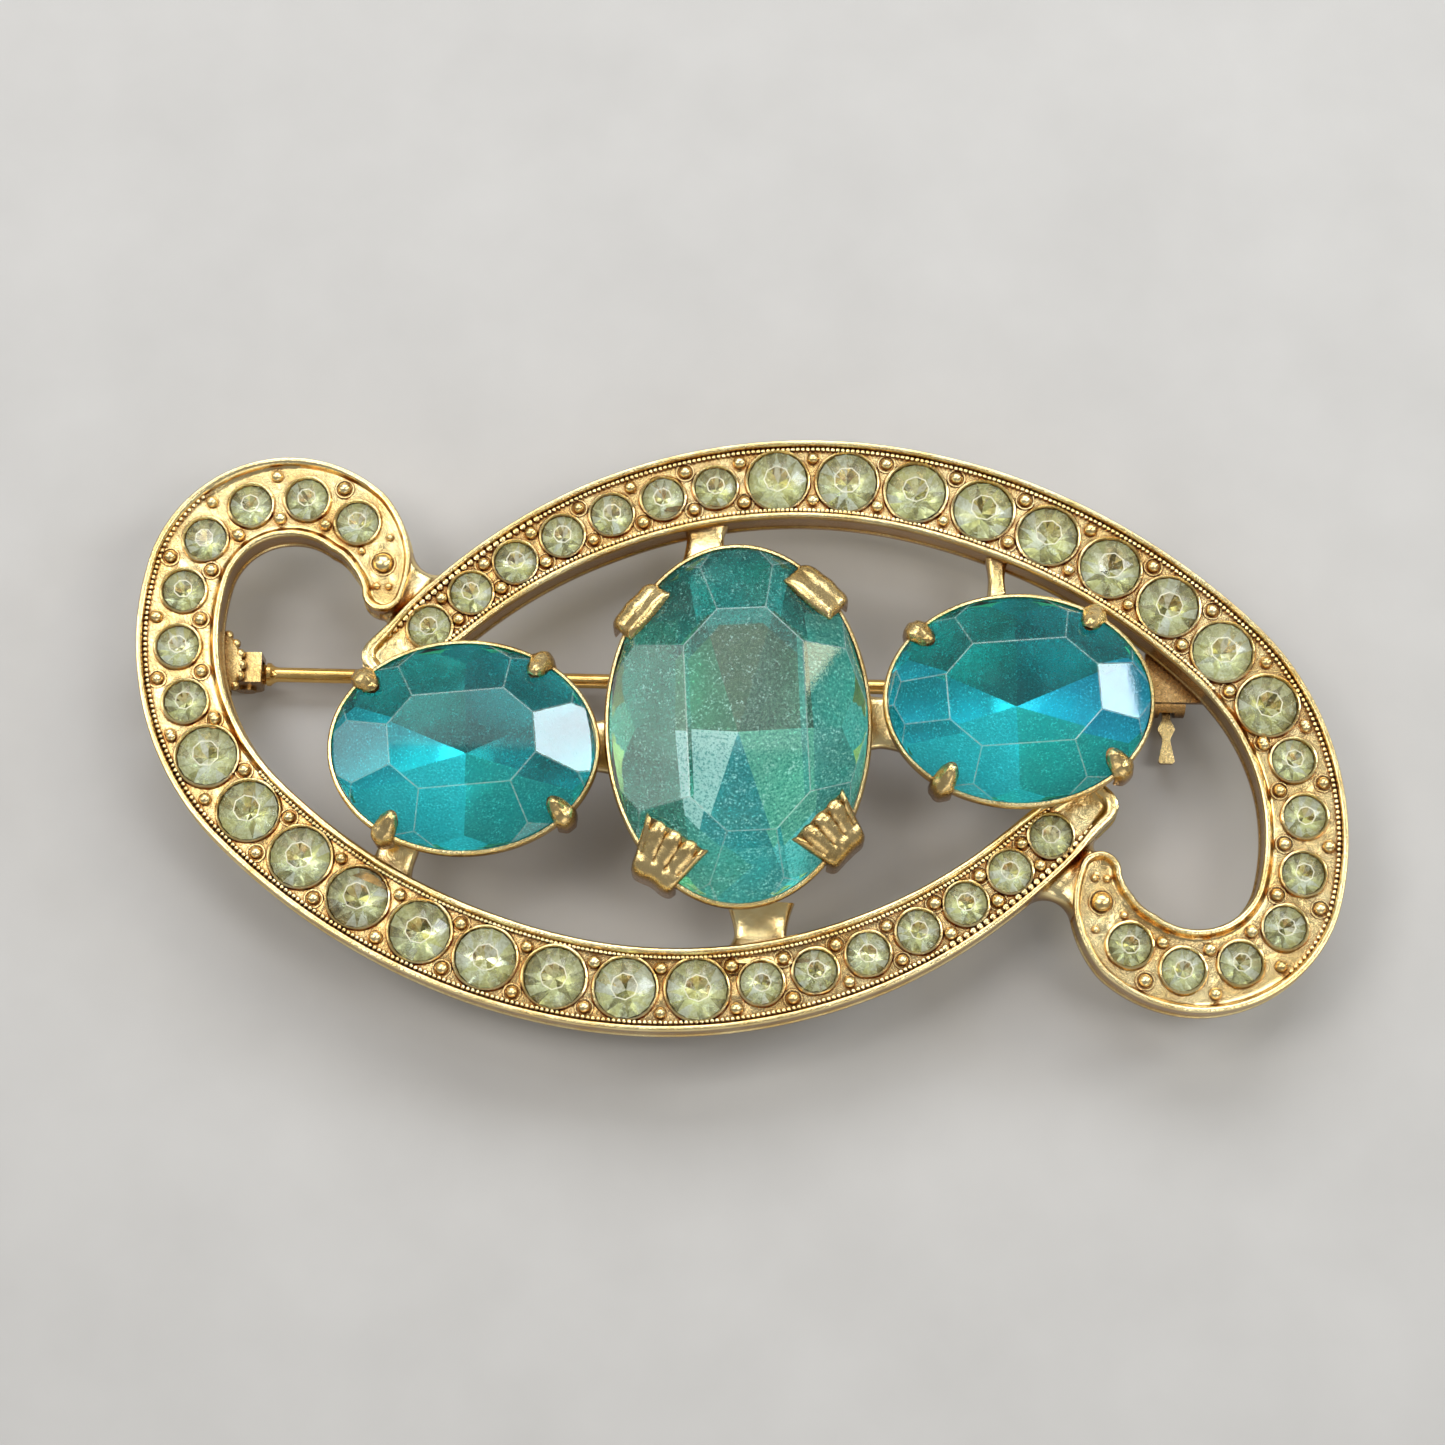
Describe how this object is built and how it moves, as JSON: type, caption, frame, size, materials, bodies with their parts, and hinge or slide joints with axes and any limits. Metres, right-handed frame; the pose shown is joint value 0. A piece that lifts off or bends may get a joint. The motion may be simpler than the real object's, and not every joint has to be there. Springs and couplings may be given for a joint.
{
  "type": "brooch",
  "caption": "Oval scroll brooch with prong-set oval glass stones, paste-set curled arms, a hinged pin and a rotating safety catch on its back.",
  "frame": {"origin": "under the middle of the outline, on the plane that the catch touches when the brooch lies level on its back", "axes": "+X along the brooch to the wearer-side right of its face as seen from the front, +Y up across it, +Z out of its face"},
  "size_m": [0.0608, 0.0304, 0.0086],
  "materials": {
    "gold_plate": "bright gold plate on cast base metal, worn to orange in the recesses",
    "antique_gold": "darkened gold plate, satin",
    "centre_glass": "faceted pale teal glass",
    "side_glass": "faceted deep teal glass",
    "paste_glass": "faceted clear paste, yellowed with age",
    "foil": "thin silvery foil, speckled",
    "pin_wire": "polished gold-plated wire"
  },
  "bodies": {
    "frame": {"left_scroll": "gold_plate", "right_scroll": "gold_plate", "upper_web": "gold_plate", "lower_web": "gold_plate", "top_strut": "gold_plate", "bottom_strut": "gold_plate", "left_bridge": "gold_plate", "right_bridge": "gold_plate", "right_post": "gold_plate", "left_solder_joint": "gold_plate", "centre_setting": "gold_plate", "left_setting": "gold_plate", "right_setting": "gold_plate", "centre_prongs": "antique_gold", "left_prongs": "antique_gold", "right_prongs": "antique_gold", "centre_stone": "centre_glass", "left_stone": "side_glass", "right_stone": "side_glass", "centre_foil": "foil", "left_foil": "foil", "right_foil": "foil", "left_curl_pastes": "paste_glass", "left_band_pastes": "paste_glass", "left_tail_pastes": "paste_glass", "right_curl_pastes": "paste_glass", "right_band_pastes": "paste_glass", "right_tail_pastes": "paste_glass", "hinge_plate": "antique_gold", "hinge_bracket": "gold_plate", "hinge_rivet": "antique_gold", "catch_base": "gold_plate"},
    "pin": {"pin_knuckle": "pin_wire", "pin_stem": "pin_wire"},
    "rotor": {"catch_rotor": "gold_plate"}
  },
  "joints": [
    {"name": "pin_hinge", "type": "hinge", "parent": "frame", "child": "pin", "pos_m": [-0.0252, 0.00385, 0.0013], "axis": [0.0209, 0.9998, 0], "range_deg": [0, 80]},
    {"name": "catch_turn", "type": "hinge", "parent": "frame", "child": "rotor", "pos_m": [0.02199, 0.00286, 0.0013], "axis": [0.9998, -0.0209, 0], "range_deg": [0, 120]}
  ]
}
